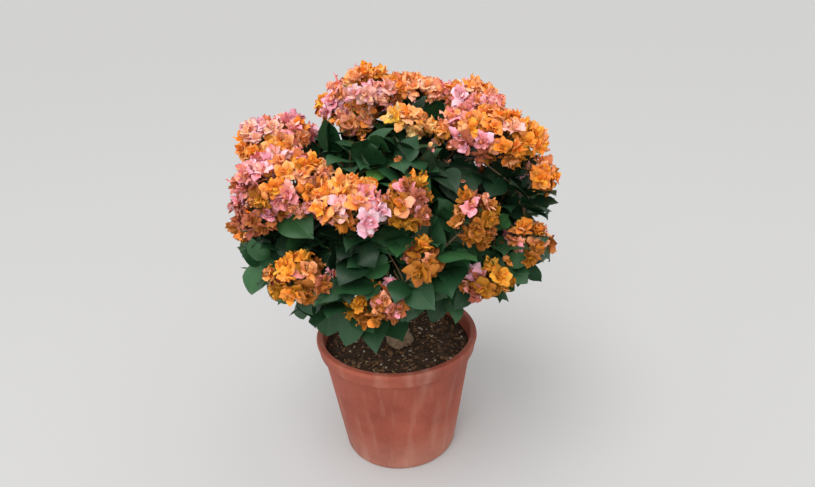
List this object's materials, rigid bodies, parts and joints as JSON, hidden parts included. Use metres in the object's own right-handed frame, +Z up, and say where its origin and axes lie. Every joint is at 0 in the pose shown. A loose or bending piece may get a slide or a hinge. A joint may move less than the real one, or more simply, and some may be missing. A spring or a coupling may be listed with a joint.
{
  "type": "potted bougainvillea bush",
  "caption": "Rounded double-flowered orange and peach bougainvillea bush with a short forked trunk, in a round rolled-rim terracotta-coloured pot.",
  "frame": {"origin": "centre of the pot's flat underside, on the surface that it stands on", "axes": "+Z up through the pot and the crown; -Y is the side that the picture sees; +X to the right in the picture"},
  "size_m": [0.4619, 0.4258, 0.6003],
  "materials": {
    "pot": "matte",
    "compost": "matte",
    "bark": "matte",
    "flowers": "matte",
    "leaves": "satin"
  },
  "bodies": {
    "root": {"bough_back": "bark", "bough_brow": "bark", "bough_front": "bark", "bough_heart": "bark", "bough_left": "bark", "bough_right": "bark", "compost": "compost", "flower_mass_back": "flowers", "flower_mass_back_left": "flowers", "flower_mass_back_left_low": "flowers", "flower_mass_back_right": "flowers", "flower_mass_back_right_low": "flowers", "flower_mass_back_right_top": "flowers", "flower_mass_back_top": "flowers", "flower_mass_centre_small": "flowers", "flower_mass_front_left_low": "flowers", "flower_mass_front_low": "flowers", "flower_mass_left": "flowers", "flower_mass_left_low": "flowers", "flower_mass_left_side": "flowers", "flower_mass_left_top": "flowers", "flower_mass_low_small": "flowers", "flower_mass_mid_low": "flowers", "flower_mass_mid_right_low": "flowers", "flower_mass_right": "flowers", "flower_mass_right_front_low": "flowers", "flower_mass_right_low": "flowers", "flower_mass_right_small": "flowers", "flower_mass_right_tail": "flowers", "flower_mass_top": "flowers", "flower_mass_top_chin": "flowers", "flower_mass_top_mid": "flowers", "flower_mass_top_right": "flowers", "leaf_mass_back": "leaves", "leaf_mass_brow": "leaves", "leaf_mass_front": "leaves", "leaf_mass_heart": "leaves", "leaf_mass_left": "leaves", "leaf_mass_right": "leaves", "pot": "pot", "trunk": "bark"}
  },
  "joints": []
}
